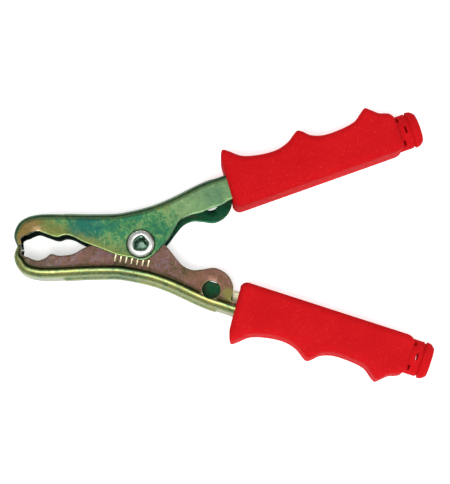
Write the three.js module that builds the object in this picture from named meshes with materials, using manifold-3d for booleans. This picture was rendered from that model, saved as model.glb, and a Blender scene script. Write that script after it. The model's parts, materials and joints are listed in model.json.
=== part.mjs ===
// Sprung battery clamp (large crocodile clip) with two finger-grooved grips.
//
// Millimetres. +X runs from the jaws to the grips, +Y is the side of the upper half, and +Z is the
// pivot axis. The clamp lies on its side: Z = 0 is the plane under the rivet's flat head and the grips.
//
// Both halves are the same pressed channel. A half is described in its own frame, with the pivot axis
// at the origin, y growing outwards to the back of the channel, and +z on the side of its straight wall.
// The upper half stands as it is described; the lower half is the same shape turned half a turn about X.

import * as THREE from 'three';
import { mergeVertices } from 'three/addons/utils/BufferGeometryUtils.js';
import Module from 'manifold-3d';

const wasm = await Module();
wasm.setup();

// ---------------------------------------------------------------- driving dimensions

const GAP = 0.3; // clearance between pieces that touch or slide

// Pressed channel
const SHEET = 1.1; // steel thickness
const CHANNEL_WIDTH = 14; // outside both walls
const BEND_RADIUS = 2; // outside of the bends between back and walls
const JOGGLE_START = 2.2; // depth at which the inner wall steps in
const JOGGLE_END = 3.4; // depth at which the step is complete
const RIB_HEIGHT = 0.65; // stiffening rib pressed out of the back
const RIB_HALF_WIDTH = 2.6; // at its foot
const RIB_SLOPE = 1.1; // width of each of its sides
const RIB_FROM_X = -25.2;
const RIB_TO_X = 24.4;

// Jaws and eye
const TIP = [-39.4, GAP / 2];
const UPPER_TOOTH_X = -26.7;
const LOWER_TOOTH_X = -28.5;
const TOOTH_Y = 2.6;
const EYE_RADIUS = 5.2; // wall left around the pivot

// Cable ear on the inner wall
const EAR_CENTRE = [22.1, 14.8];
const EAR_RADIUS = 7.1;
const LUG_HOLE_RADIUS = 2.9; // clearance hole for an M5 screw

// Tang and grip: lengths along the grip line, which goes through the pivot, and heights above it
const GRIP_ANGLE = THREE.MathUtils.degToRad(18.85);
const TANG_BACK = 12.05; // height of the channel's back
const TANG_DEPTH = 8.3;
const TANG_END = 74;
const GRIP_FRONT = 33; // where the inner face starts
const POCKET_START = 30; // ahead of the grip, so that the pocket is open in front
const POCKET_END = TANG_END + 2;
const POCKET_FLOOR = 3.2; // height of its floor, under the tang
const GRIP_WIDTH = 18;
const GRIP_FACE = 0.4; // height of its inner face
const GRIP_EDGE = 2.5; // rounding of its edges
const UPPER_SEAT = [-1.1, 0]; // the two grips do not sit quite alike on their tangs
const LOWER_SEAT = [1.1, 0.7];

// Cable collar behind each grip
const COLLAR_HEIGHT = 6.3; // of its axis above the grip line
const COLLAR_START = 89;
const COLLAR_END = 97.9;
const COLLAR_RADIUS = 5.7;
const FLANGE_RADIUS = 5.95;
const BORE_RADIUS = 3.5; // for the cable
const WINDOW_WIDTH = 2.3; // around the collar
const WINDOW_LENGTH = 0.7; // along the collar
const WINDOW_REACH = 3.2; // right through the collar's wall
const WINDOWS_PER_ROW = 4;
const FIRST_WINDOW_ROW = COLLAR_START + 2.6;
const WINDOW_ROW_SPACING = 1.5;

// Rivet and spring
const SHANK_RADIUS = 2.5;
const HOLE_RADIUS = SHANK_RADIUS + 0.05; // running fit in the four walls
const SET_HEAD_RADIUS = 4.4;
const FLAT_HEAD_RADIUS = 5;
const HOLLOW_RADIUS = 2.1;
const WIRE_RADIUS = 0.85;
const COIL_RADIUS = 4.3; // to the middle of the wire
const COIL_TURNS = 3.6;
const COIL_CLEARANCE = 0.15; // between neighbouring turns
const LEG_ANGLE = THREE.MathUtils.degToRad(34);
const LEG_LENGTH = 17;
const MID_HEIGHT = GRIP_WIDTH / 2; // of the clamp's middle plane above Z = 0

const HALF_WIDTH = CHANNEL_WIDTH / 2;
const INNER_WALL = HALF_WIDTH - SHEET - GAP; // outside face of the stepped wall
const along = new THREE.Vector2(Math.cos(GRIP_ANGLE), Math.sin(GRIP_ANGLE));
const across = new THREE.Vector2(-along.y, along.x);

// ---------------------------------------------------------------- helpers

/** Point at distance u along the grip line from the pivot, and v outwards from the line. */
function onGrip(u, v) {
  return [u * along.x + v * across.x, u * along.y + v * across.y];
}

function toSolid(geometry) {
  const bare = geometry.index ? geometry.clone() : geometry;
  for (const name of Object.keys(bare.attributes)) {
    if (name !== 'position') bare.deleteAttribute(name);
  }
  const merged = mergeVertices(bare, 1e-4);
  const corners = merged.index.array;
  const triangles = [];
  for (let i = 0; i < corners.length; i += 3) {
    const [a, b, c] = corners.slice(i, i + 3);
    if (a !== b && b !== c && c !== a) triangles.push(a, b, c);
  }
  return new wasm.Manifold(
    new wasm.Mesh({
      numProp: 3,
      vertProperties: new Float32Array(merged.attributes.position.array),
      triVerts: new Uint32Array(triangles),
    }),
  );
}

function toGeometry(solid) {
  const { vertProperties, triVerts } = solid.getMesh();
  const geometry = new THREE.BufferGeometry();
  geometry.setAttribute('position', new THREE.BufferAttribute(vertProperties, 3));
  geometry.setIndex(new THREE.BufferAttribute(triVerts, 1));
  return geometry;
}

/** Triangles between neighbouring sections of a loft. Each section is a loop of count points. */
function skinIndex(steps, count) {
  const index = [];
  for (let i = 0; i < steps; i += 1) {
    for (let j = 0; j < count; j += 1) {
      const a = i * count + j;
      const b = i * count + ((j + 1) % count);
      const c = b + count;
      const d = a + count;
      index.push(a, d, b, b, d, c);
    }
  }
  return index;
}

/** Cylinder along z through (x, y), from z0 to z1. */
function post(x, y, radius, z0, z1, sides = 32) {
  const geometry = new THREE.CylinderGeometry(radius, radius, z1 - z0, sides);
  geometry.rotateX(Math.PI / 2);
  geometry.translate(x, y, (z0 + z1) / 2);
  return toSolid(geometry);
}

/** Turns a geometry made along +y, about the y axis, to lie along the grip line at height v. */
function layAlongGrip(geometry, u, v) {
  geometry.rotateZ(GRIP_ANGLE - Math.PI / 2);
  geometry.translate(...onGrip(u, v), 0);
  return geometry;
}

// ---------------------------------------------------------------- pressed channel

/**
 * Stations from the jaw tip to the end of the tang. Each gives a point of the channel's back, the
 * point where the straight wall ends opposite it, and the point where the stepped wall ends.
 */
function channelStations(toothX) {
  const eye = (degrees) => {
    const angle = THREE.MathUtils.degToRad(degrees);
    return [EYE_RADIUS * Math.cos(angle), EYE_RADIUS * Math.sin(angle)];
  };
  const ear = (degrees) => {
    const angle = THREE.MathUtils.degToRad(degrees);
    return [
      EAR_CENTRE[0] + EAR_RADIUS * Math.cos(angle),
      EAR_CENTRE[1] + EAR_RADIUS * Math.sin(angle),
    ];
  };
  const wallEdge = TANG_BACK - TANG_DEPTH;
  const bandEdge = TANG_BACK - JOGGLE_END - 0.6;
  const stations = [
    { back: TIP, straight: [-37.9, TIP[1]] },
    { back: [-40.3, 2.7], straight: [-38.1, 2.3] },
    { back: [-40, 5.2], straight: [-37.2, 3.1] },
    { back: [-38.5, 7.8], straight: [-35.9, 3.5] },
    { back: [-35.8, 9.4], straight: [-34.4, 4.2] },
    { back: [-32.4, 10.1], straight: [-32.6, 4.6] },
    { back: [-29.8, 10.2], straight: [-30.3, 3.8] },
    { back: [-27.4, 10.2], straight: [toothX, TOOTH_Y] },
    { back: [-24.6, 10.1], straight: [toothX + 2.6, 3.2] },
    { back: [-21.5, 10], straight: [-21.6, 2.7] },
    { back: [-17.5, 9.85], straight: [-18, 0.8] },
    { back: [-12, 9.8], straight: [-12.2, -1.5] },
    { back: [-7.5, 9.9], straight: [-7.2, -3.5] },
    { back: [-3.5, 10.55], straight: eye(-122) },
    { back: [0.4, 11.4], straight: eye(-84) },
    { back: [4, 12.4], straight: eye(-46) },
    { back: [7.5, 13.7], straight: [8.1, 0.7] },
    { back: [10.5, 15], straight: [10.4, 4.2], stepped: [11, 4.4] },
    { back: [13, 16.2], straight: [12.3, 7.3], stepped: [13.4, 7.1] },
    { back: [16, 17.7], straight: [15.8, 9], stepped: [16.4, 8.4] },
    { back: [18.8, 19], straight: [19.2, 9.8], stepped: ear(-113) },
    { back: [21.4, 20.1], straight: [22.2, 11], stepped: ear(-78) },
    { back: onGrip(29.5, TANG_BACK), straight: onGrip(28, wallEdge - 0.6), stepped: ear(-43) },
    { back: onGrip(31.5, TANG_BACK), straight: onGrip(31, wallEdge), stepped: ear(-8) },
    { back: onGrip(33.2, TANG_BACK), straight: onGrip(33, wallEdge), stepped: ear(27) },
    { back: onGrip(35.5, TANG_BACK), straight: onGrip(35.5, wallEdge), stepped: onGrip(34.8, bandEdge) },
    { back: onGrip(42, TANG_BACK), straight: onGrip(42, wallEdge), stepped: onGrip(42, bandEdge) },
    {
      back: onGrip(TANG_END, TANG_BACK),
      straight: onGrip(TANG_END, wallEdge + 0.8),
      stepped: onGrip(TANG_END, bandEdge),
    },
  ];
  return stations.map((station) => ({ stepped: station.straight, ...station }));
}

/** Cross-section of the sheet: a loop of points, each with z and a depth rule. */
function sheetSection() {
  const flat = HALF_WIDTH - BEND_RADIUS;
  const inside = BEND_RADIUS - SHEET;
  const half = Math.SQRT1_2;
  const outer = (side, joggled) => [
    { z: side * (joggled ? INNER_WALL : HALF_WIDTH), wall: 1, side },
    { z: side * (joggled ? INNER_WALL : HALF_WIDTH), depth: JOGGLE_END },
    { z: side * HALF_WIDTH, depth: JOGGLE_START },
    { z: side * (flat + BEND_RADIUS * half), depth: BEND_RADIUS * (1 - half) },
    { z: side * flat, depth: 0 },
    { z: side * RIB_HALF_WIDTH, depth: 0 },
    { z: side * (RIB_HALF_WIDTH - RIB_SLOPE), depth: 0, rib: 1 },
  ];
  const inner = (side, joggled) => [
    { z: side * ((joggled ? INNER_WALL : HALF_WIDTH) - SHEET), wall: 1, side },
    { z: side * ((joggled ? INNER_WALL : HALF_WIDTH) - SHEET), depth: JOGGLE_END, lining: 1 },
    { z: side * (HALF_WIDTH - SHEET), depth: BEND_RADIUS, lining: 1 },
    { z: side * (flat + inside * half), depth: BEND_RADIUS - inside * half, lining: 1 },
    { z: side * flat, depth: SHEET, lining: 1 },
    { z: side * RIB_HALF_WIDTH, depth: SHEET, lining: 1 },
    { z: side * (RIB_HALF_WIDTH - RIB_SLOPE), depth: SHEET, lining: 1, rib: 1 },
  ];
  return [
    ...outer(1, false),
    ...outer(-1, true).reverse(),
    ...inner(-1, true),
    ...inner(1, false).reverse(),
  ];
}

function channelHalf(toothX) {
  const stations = channelStations(toothX);
  const curve = (key) => new THREE.SplineCurve(stations.map((s) => new THREE.Vector2(...s[key])));
  const back = curve('back');
  const straight = curve('straight');
  const stepped = curve('stepped');
  const section = sheetSection();
  const steps = 2 * (stations.length - 1);
  const positions = [];

  for (let i = 0; i <= steps; i += 1) {
    const t = i / steps;
    const origin = back.getPoint(t);
    const tangent = back.getTangent(t);
    const rib = origin.x > RIB_FROM_X && origin.x < RIB_TO_X ? RIB_HEIGHT : 0;
    for (const point of section) {
      const edge = (point.z > 0 ? straight : stepped).getPoint(t);
      const reach = edge.clone().sub(origin);
      const room = reach.length();
      const normal = new THREE.Vector2(tangent.y, -tangent.x);
      const towardsEdge = THREE.MathUtils.clamp(2 - room / JOGGLE_END, 0, 1);
      const inward = normal.lerp(reach.divideScalar(room), towardsEdge).normalize();
      const squeeze = Math.min(1, (0.85 * room) / JOGGLE_END);
      const liningSqueeze = Math.min(1, (0.9 * room - SHEET) / (JOGGLE_END - SHEET));
      let place = edge;
      if (!point.wall) {
        const depth = point.lining
          ? SHEET + (point.depth - SHEET) * liningSqueeze
          : point.depth * squeeze;
        place = origin.clone().addScaledVector(inward, depth - (point.rib ? rib : 0));
      }
      positions.push(place.x, place.y, point.z);
    }
  }

  const count = section.length;
  const index = skinIndex(steps, count);
  // End faces, as strips between the outside and the inside of the sheet
  const half = count / 2;
  for (let j = 0; j < half - 1; j += 1) {
    const [a, b, c, d] = [j, j + 1, count - 2 - j, count - 1 - j];
    index.push(a, b, c, a, c, d);
    const end = steps * count;
    index.push(end + a, end + c, end + b, end + a, end + d, end + c);
  }

  const geometry = new THREE.BufferGeometry();
  geometry.setAttribute('position', new THREE.Float32BufferAttribute(positions, 3));
  geometry.setIndex(index);
  const lugHole = post(...EAR_CENTRE, LUG_HOLE_RADIUS, -HALF_WIDTH, 0);
  const pivotHole = post(0, 0, HOLE_RADIUS, -HALF_WIDTH - 1, HALF_WIDTH + 1);
  return toGeometry(toSolid(geometry).subtract(lugHole).subtract(pivotHole));
}

// ---------------------------------------------------------------- grips

/** Outer face of a grip, from front to rear: three finger ridges with hollows between them. */
const ridgeLine = new THREE.SplineCurve(
  [
    [34.2, 18.6],
    [35.5, 20],
    [37.5, 18.6],
    [41, 15.8],
    [46.3, 14.3],
    [51.8, 13.9],
    [56, 15],
    [58.6, 16.7],
    [60.2, 17.5],
    [61.7, 16.7],
    [64, 14.6],
    [68, 13.3],
    [73.5, 13.3],
    [78.3, 14.1],
    [81.2, 16.1],
    [83, 17.1],
    [84.6, 15.9],
    [87, 13.9],
    [90.9, 12.9],
  ].map(([u, v]) => new THREE.Vector2(u, v)),
);

/** Body of a grip as a loft: rounded rectangles between the inner face and the ridge line. */
function gripBody(seat) {
  const steps = 3 * (ridgeLine.points.length - 1);
  const first = ridgeLine.getPoint(0).x;
  const last = ridgeLine.getPoint(1).x;
  const corners = [
    [-1, 1],
    [1, 1],
    [1, -1],
    [-1, -1],
  ];
  const positions = [];
  for (let i = 0; i <= steps; i += 1) {
    const top = ridgeLine.getPoint(i / steps);
    const bottom = THREE.MathUtils.mapLinear(top.x, first, last, GRIP_FRONT, last);
    const fromEnd = Math.min(GRIP_EDGE, top.x - first, last - top.x);
    const inset = GRIP_EDGE - Math.sqrt(GRIP_EDGE ** 2 - (GRIP_EDGE - fromEnd) ** 2);
    for (const [sideV, sideZ] of corners) {
      for (let k = 0; k < 3; k += 1) {
        const turn = ((sideV * sideZ > 0 ? k : 2 - k) * Math.PI) / 4;
        const out = Math.cos(turn);
        const up = Math.sin(turn);
        const zCentre = GRIP_WIDTH / 2 - GRIP_EDGE;
        const z = sideZ * (zCentre + (GRIP_EDGE - inset) * out);
        const vCentre = sideV > 0 ? top.y - GRIP_EDGE : GRIP_FACE + GRIP_EDGE;
        const v = vCentre + sideV * (GRIP_EDGE - inset) * up;
        const u = THREE.MathUtils.mapLinear(v, GRIP_FACE, top.y, bottom, top.x);
        positions.push(u + seat[0], v + seat[1], z);
      }
    }
  }
  const count = 3 * corners.length;
  const end = steps * count;
  const index = skinIndex(steps, count);
  for (let j = 1; j < count - 1; j += 1) {
    index.push(0, j, j + 1, end, end + j + 1, end + j);
  }
  const geometry = new THREE.BufferGeometry();
  geometry.setAttribute('position', new THREE.Float32BufferAttribute(positions, 3));
  geometry.setIndex(index);
  geometry.rotateZ(GRIP_ANGLE);
  return geometry;
}

function grip(seat) {
  const profile = [
    [0, COLLAR_START],
    [COLLAR_RADIUS, COLLAR_START],
    [COLLAR_RADIUS, COLLAR_END - 3.6],
    [COLLAR_RADIUS - 0.4, COLLAR_END - 3.5],
    [COLLAR_RADIUS - 0.4, COLLAR_END - 3],
    [FLANGE_RADIUS, COLLAR_END - 2.9],
    [FLANGE_RADIUS, COLLAR_END - 2],
    [FLANGE_RADIUS - 0.7, COLLAR_END - 0.8],
    [BORE_RADIUS + 0.4, COLLAR_END],
    [0, COLLAR_END],
  ];
  const outline = profile.map(([r, u]) => new THREE.Vector2(r, u));
  const collarHeight = COLLAR_HEIGHT + seat[1];
  const collar = layAlongGrip(new THREE.LatheGeometry(outline, 32), seat[0], collarHeight);

  const boreLength = COLLAR_END - TANG_END;
  const bore = new THREE.CylinderGeometry(BORE_RADIUS, BORE_RADIUS, boreLength, 32);
  layAlongGrip(bore, POCKET_END + boreLength / 2 + seat[0], collarHeight);

  // Pocket that the tang sits in, with the cable beside it
  const pocketLength = POCKET_END - POCKET_START;
  const pocketTop = TANG_BACK + GAP;
  const pocketDepth = pocketTop - POCKET_FLOOR;
  const pocket = new THREE.BoxGeometry(pocketLength, pocketDepth, CHANNEL_WIDTH + 2 * GAP);
  pocket.rotateZ(GRIP_ANGLE);
  pocket.translate(...onGrip(POCKET_START + pocketLength / 2, pocketTop - pocketDepth / 2), 0);

  let solid = toSolid(gripBody(seat)).add(toSolid(collar));
  solid = solid.subtract(toSolid(pocket)).subtract(toSolid(bore));
  for (const row of [0, 1]) {
    for (let k = 0; k < WINDOWS_PER_ROW; k += 1) {
      solid = solid.subtract(collarWindow(row, k, seat));
    }
  }
  return toGeometry(solid);
}

/** One window through the collar's wall. The second row is turned to sit between the first. */
function collarWindow(row, k, seat) {
  const geometry = new THREE.BoxGeometry(WINDOW_WIDTH, WINDOW_LENGTH, WINDOW_REACH);
  geometry.translate((BORE_RADIUS + COLLAR_RADIUS) / 2, 0, 0);
  geometry.rotateY((k + 0.5 + 0.5 * row) * ((2 * Math.PI) / WINDOWS_PER_ROW));
  layAlongGrip(geometry, FIRST_WINDOW_ROW + WINDOW_ROW_SPACING * row + seat[0], COLLAR_HEIGHT + seat[1]);
  return toSolid(geometry);
}

// ---------------------------------------------------------------- rivet and spring

function rivet() {
  const wall = HALF_WIDTH + GAP;
  const profile = [
    [0, -MID_HEIGHT],
    [FLAT_HEAD_RADIUS - 0.5, -MID_HEIGHT],
    [FLAT_HEAD_RADIUS, -MID_HEIGHT + 0.5],
    [FLAT_HEAD_RADIUS - 0.4, -wall],
    [SHANK_RADIUS, -wall],
    [SHANK_RADIUS, wall],
    [SET_HEAD_RADIUS - 0.4, wall],
    [SET_HEAD_RADIUS, wall + 0.5],
    [SET_HEAD_RADIUS - 0.6, wall + 1],
    [HOLLOW_RADIUS + 0.5, wall + 1.2],
    [HOLLOW_RADIUS, wall + 0.7],
    [HOLLOW_RADIUS - 0.2, HALF_WIDTH - 4],
    [0, HALF_WIDTH - 4.6],
  ];
  const geometry = new THREE.LatheGeometry(profile.map(([r, z]) => new THREE.Vector2(r, z)), 40);
  geometry.rotateX(Math.PI / 2);
  return toGeometry(toSolid(geometry));
}

/** Middle line of the spring wire: a leg against each channel's back, and the coil on the rivet. */
function springPath() {
  const pitch = 2 * WIRE_RADIUS + COIL_CLEARANCE;
  const sweep = COIL_TURNS * 2 * Math.PI - 2 * LEG_ANGLE;
  const rise = (pitch * sweep) / (2 * Math.PI);
  const start = Math.PI / 2 + LEG_ANGLE;
  const turnSteps = 52;
  const leg = (height, sign) => [0.98, 0.62, 0.3, 0.08].map((part) => {
    const reach = part * LEG_LENGTH;
    return new THREE.Vector3(
      COIL_RADIUS * Math.cos(start) + reach * Math.cos(LEG_ANGLE),
      sign * (COIL_RADIUS * Math.sin(start) + reach * Math.sin(LEG_ANGLE)),
      height,
    );
  });
  const points = leg(rise / 2, 1);
  for (let i = 0; i <= turnSteps; i += 1) {
    const angle = start + (sweep * i) / turnSteps;
    const height = rise / 2 - (rise * i) / turnSteps;
    points.push(new THREE.Vector3(COIL_RADIUS * Math.cos(angle), COIL_RADIUS * Math.sin(angle), height));
  }
  points.push(...leg(-rise / 2, -1).reverse());
  return new THREE.CatmullRomCurve3(points);
}

function spring() {
  const wire = new THREE.Shape();
  wire.absarc(0, 0, WIRE_RADIUS, 0, 2 * Math.PI);
  return new THREE.ExtrudeGeometry(wire, { steps: 78, curveSegments: 4, extrudePath: springPath() });
}

// ---------------------------------------------------------------- materials and assembly

const chromate = { color: 0x8f8c4f, roughness: 0.38, metalness: 0.9 };
const zinc = { color: 0xc9ccc8, roughness: 0.3, metalness: 1 };
const springSteel = { color: 0x7b7d80, roughness: 0.4, metalness: 1 };
const redVinyl = { color: 0xcf1a20, roughness: 0.6, metalness: 0 };

function piece(name, geometry, finish) {
  const mesh = new THREE.Mesh(geometry, new THREE.MeshStandardMaterial(finish));
  mesh.name = name;
  return mesh;
}

const upperHalf = new THREE.Group();
upperHalf.add(piece('upper_jaw', channelHalf(UPPER_TOOTH_X), chromate));
upperHalf.add(piece('upper_grip', grip(UPPER_SEAT), redVinyl));

const lowerHalf = new THREE.Group();
lowerHalf.rotation.x = Math.PI;
lowerHalf.add(piece('lower_jaw', channelHalf(LOWER_TOOTH_X), chromate));
lowerHalf.add(piece('lower_grip', grip(LOWER_SEAT), redVinyl));

const clamp = new THREE.Group();
clamp.add(upperHalf, lowerHalf);
clamp.add(piece('pivot_rivet', rivet(), zinc));
clamp.add(piece('torsion_spring', spring(), springSteel));
clamp.position.z = MID_HEIGHT;

export default clamp;
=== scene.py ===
"""Looks of a sprung battery clamp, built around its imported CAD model.

Shapes are worked out in millimetres and turned into metres when a mesh is made. A half of the clamp
is described in its own frame, as in the CAD model: the pivot axis at the origin, y growing outwards
to the back of the channel, and +z on the side of its straight wall. The upper half stands as it is
described; the lower half is the same shape turned half a turn about X. On a grip, u runs along it
from the pivot to the collar, and v outwards from the line through the pivot.
"""

import json
import math

import bmesh
import bpy
import numpy as np
from mathutils import Matrix, Vector


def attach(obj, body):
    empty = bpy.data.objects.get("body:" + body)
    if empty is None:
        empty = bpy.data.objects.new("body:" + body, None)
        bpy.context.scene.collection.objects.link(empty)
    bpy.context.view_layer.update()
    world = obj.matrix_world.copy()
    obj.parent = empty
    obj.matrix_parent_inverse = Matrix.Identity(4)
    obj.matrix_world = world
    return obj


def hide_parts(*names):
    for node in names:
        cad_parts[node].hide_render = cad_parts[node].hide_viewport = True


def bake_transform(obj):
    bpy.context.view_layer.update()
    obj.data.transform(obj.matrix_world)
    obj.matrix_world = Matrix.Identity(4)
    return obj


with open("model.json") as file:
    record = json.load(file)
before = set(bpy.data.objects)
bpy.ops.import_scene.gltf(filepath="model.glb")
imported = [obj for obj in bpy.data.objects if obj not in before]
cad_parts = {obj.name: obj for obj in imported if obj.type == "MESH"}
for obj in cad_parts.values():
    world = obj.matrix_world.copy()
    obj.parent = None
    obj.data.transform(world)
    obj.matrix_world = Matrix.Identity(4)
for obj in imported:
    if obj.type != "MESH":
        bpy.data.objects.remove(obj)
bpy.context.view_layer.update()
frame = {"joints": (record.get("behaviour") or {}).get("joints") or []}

MM = 0.001

# ------------------------------------------------------------------ dimensions, in millimetres

GAP = 0.3  # between pieces that lie face to face
MID_HEIGHT = frame["joints"][0]["pos_m"][2] / MM  # of the channels, above the floor

SHEET = 1.1
HALF_WIDTH = 7.0  # of a channel, over its straight wall
BEND_RADIUS = 2.0
JOGGLE_START = 2.2  # depths below the back between which the stepped wall steps in
JOGGLE_END = 3.4
INNER_WALL = HALF_WIDTH - SHEET - GAP
RIB_HEIGHT = 0.65
RIB_FLAT = 1.5  # half widths of the rib's top and of its foot
RIB_FOOT = 2.8
RIB_FROM_X = -25.4
RIB_TO_X = 24.4
RIB_RAMP = 1.3
EDGE = 0.24  # rounding of the sheet's edges
EDGE_STEPS = (0, 0.3 * EDGE, EDGE, 2 * EDGE)  # distances back from an edge where it has points
EDGE_PINCH = (EDGE, 0.3 * EDGE)  # how far the sheet's sides draw in at the first two of them
FULL_WALL = 12 * EDGE  # on walls shorter than this, the edge's points lie closer together
SLIM_LINING = 0.9  # shares of the room from back to edge that the bends of a slim section take
SLIM_OUTSIDE = 0.85

TIP = (-39.4, GAP / 2)
TIP_STEP = 2.7  # from the tip to the next station
FIRST_SECTION = 0.25  # after those of the tip's edge, in stations, as is the step from there on
JAW_STEP = 0.1
GRIPPED_STATIONS = 2  # last stations, hidden in the grip
GRIPPED_SECTIONS = 15
UPPER_TOOTH_X = -26.7
LOWER_TOOTH_X = -28.5
TOOTH_Y = 2.6
EYE_RADIUS = 5.2  # of the walls round the pivot
EAR_CENTRE = (22.1, 14.8)
EAR_RADIUS = 7.1
LUG_HOLE_RADIUS = 2.9
TICK_COUNT = 7  # coined in the stepped wall
TICK_FROM = (-8.2, 4.2)
TICK_STEP = (1.75, 0.33)
TICK_SIZE = (0.5, 2.3)
TICK_DEPTH = 0.15
TICK_SLANT = math.radians(13)
TICK_ROUNDING = 0.14

GRIP_ANGLE = math.radians(18.85)
TANG_BACK = 12.05  # v of the channel's back in the grip
TANG_DEPTH = 8.3
TANG_END = 74.0
GRIP_FRONT = 33.0
POCKET_START = 30.0
POCKET_END = TANG_END + 2
POCKET_FLOOR = 3.2
POCKET_ROUNDING = 0.5
GRIP_HALF_WIDTH = 9.0
GRIP_FACE = 0.4  # v of the grip's inner face
GRIP_EDGE = 2.5  # rounding of the grip's edges
LEAST_ROUNDING = 0.03  # of that, left at the grip's ends
UPPER_SEAT = (-1.1, 0.0)  # how far each grip sits from its drawn place, along u and v
LOWER_SEAT = (1.1, 0.7)

COLLAR_HEIGHT = 6.3  # v of the collar's axis
COLLAR_START = 89.0
COLLAR_END = 97.9
COLLAR_RADIUS = 5.7
FLANGE_RADIUS = 5.95
BORE_RADIUS = 3.5
WINDOW_WIDTH = 2.3
WINDOW_LENGTH = 0.7
WINDOW_ROUNDING = 0.25
WINDOWS_PER_ROW = 4
FIRST_WINDOW_ROW = COLLAR_START + 2.6
WINDOW_ROW_SPACING = 1.5

SHANK_RADIUS = 2.5
SHANK_PLAY = 0.05
HEAD_PLAY = 0.02
SET_HEAD_RADIUS = 4.4
FLAT_HEAD_RADIUS = 5.0
HOLLOW_RADIUS = 2.1
WIRE_RADIUS = 0.85
WIRE_SIDES = 20
WIRE_END_ROUNDING = 0.2
COIL_RADIUS = 4.3
COIL_TURNS = 3.6
COIL_CLEARANCE = 0.15
LEG_ANGLE = math.radians(34)
LEG_LENGTH = 17.0

# ------------------------------------------------------------------ geometry helpers

SQUARE = ((-1, -1), (1, -1), (1, 1), (-1, 1))


def on_grip(u, v):
    """Point at u along the line through the pivot that the grip follows, and v outwards from it."""
    c, s = math.cos(GRIP_ANGLE), math.sin(GRIP_ANGLE)
    return (u * c - v * s, u * s + v * c)


def around(centre, radius, degrees):
    angle = math.radians(degrees)
    return (centre[0] + radius * math.cos(angle), centre[1] + radius * math.sin(angle))


def spline(points, ts):
    """Catmull-Rom curve through the points, at each t from 0 to 1, with its direction."""
    p = np.array(points, float)
    last = len(p) - 1
    x = np.asarray(ts, float) * last
    i = np.minimum(x.astype(int), last - 1)
    w = (x - i)[:, None]
    p0, p1 = p[np.maximum(i - 1, 0)], p[i]
    p2, p3 = p[i + 1], p[np.minimum(i + 2, last)]
    v0, v1 = (p2 - p0) / 2, (p3 - p1) / 2
    a = 2 * p1 - 2 * p2 + v0 + v1
    b = -3 * p1 + 3 * p2 - 2 * v0 - v1
    place = ((a * w + b) * w + v0) * w + p1
    run = (3 * a * w + 2 * b) * w + v0
    return place, run / np.linalg.norm(run, axis=1, keepdims=True)


def smooth(x, low, high):
    """0 at low, 1 at high, level at both ends."""
    t = np.clip((np.asarray(x, float) - low) / (high - low), 0, 1)
    return t * t * (3 - 2 * t)


def ring_faces(rows, count):
    """Quads between the rows of a loft whose sections are closed loops."""
    i, j = np.meshgrid(np.arange(rows - 1), np.arange(count), indexing="ij")
    k = (j + 1) % count
    a, b, c, d = i * count + j, i * count + k, (i + 1) * count + k, (i + 1) * count + j
    return np.stack([a, b, c, d], -1).reshape(-1, 4).tolist()


def capped_loft(name, points, count):
    """Closed mesh through sections of count points each, with a flat face over either end."""
    last = len(points) - count
    faces = ring_faces(len(points) // count, count)
    faces += [list(range(count))[::-1], list(range(last, last + count))]
    return make_mesh(name, points, faces)


def make_mesh(name, points, faces):
    """Closed mesh from points in millimetres, as an object at the origin."""
    mesh = bpy.data.meshes.new(name)
    mesh.from_pydata([tuple(p) for p in np.asarray(points) * MM], [], faces)
    mesh.validate()
    piece = bpy.data.objects.new(name, mesh)
    bpy.context.scene.collection.objects.link(piece)
    face_outwards(piece)
    return piece


def face_outwards(piece):
    form = bmesh.new()
    form.from_mesh(piece.data)
    bmesh.ops.recalc_face_normals(form, faces=form.faces)
    if form.calc_volume(signed=True) < 0:
        bmesh.ops.reverse_faces(form, faces=form.faces)
    form.to_mesh(piece.data)
    form.free()


def lathe(name, profile, sides=96):
    """Turns (radius, height) points about z, and closes both ends with a flat face."""
    points = []
    for radius, height in profile:
        for k in range(sides):
            angle = 2 * math.pi * k / sides
            points.append((radius * math.cos(angle), radius * math.sin(angle), height))
    return capped_loft(name, points, sides)


def rounded_profile(corners, steps=5):
    """Profile through (radius, height, rounding) corners, each rounded by an arc-like curve."""
    profile = []
    for k, (r, h, rounding) in enumerate(corners):
        here = np.array((r, h))
        if rounding == 0 or k in (0, len(corners) - 1):
            profile.append((r, h))
            continue
        before = np.array(corners[k - 1][:2]) - here
        after = np.array(corners[k + 1][:2]) - here
        start = here + before / np.linalg.norm(before) * rounding
        end = here + after / np.linalg.norm(after) * rounding
        for i in range(steps + 1):
            t = i / steps
            profile.append(tuple((1 - t) ** 2 * start + 2 * t * (1 - t) * here + t * t * end))
    return profile


def apply_modifiers(piece):
    graph = bpy.context.evaluated_depsgraph_get()
    mesh = bpy.data.meshes.new_from_object(piece.evaluated_get(graph))
    piece.modifiers.clear()
    piece.data = mesh


def soften(piece, width, segments, degrees=40):
    """Rounds the edges where a piece's faces meet at more than the angle."""
    step = piece.modifiers.new("soften", "BEVEL")
    step.width = width * MM
    step.segments = segments
    step.limit_method = "ANGLE"
    step.angle_limit = math.radians(degrees)
    apply_modifiers(piece)


def combine(piece, tools, operation):
    """Cuts each tool out of piece, or joins it on, and removes the tools."""
    for tool in tools:
        step = piece.modifiers.new("combine", "BOOLEAN")
        step.operation = operation
        step.solver = "EXACT"
        step.object = tool
        apply_modifiers(piece)
        bpy.data.objects.remove(tool)
    merge_close(piece)


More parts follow.
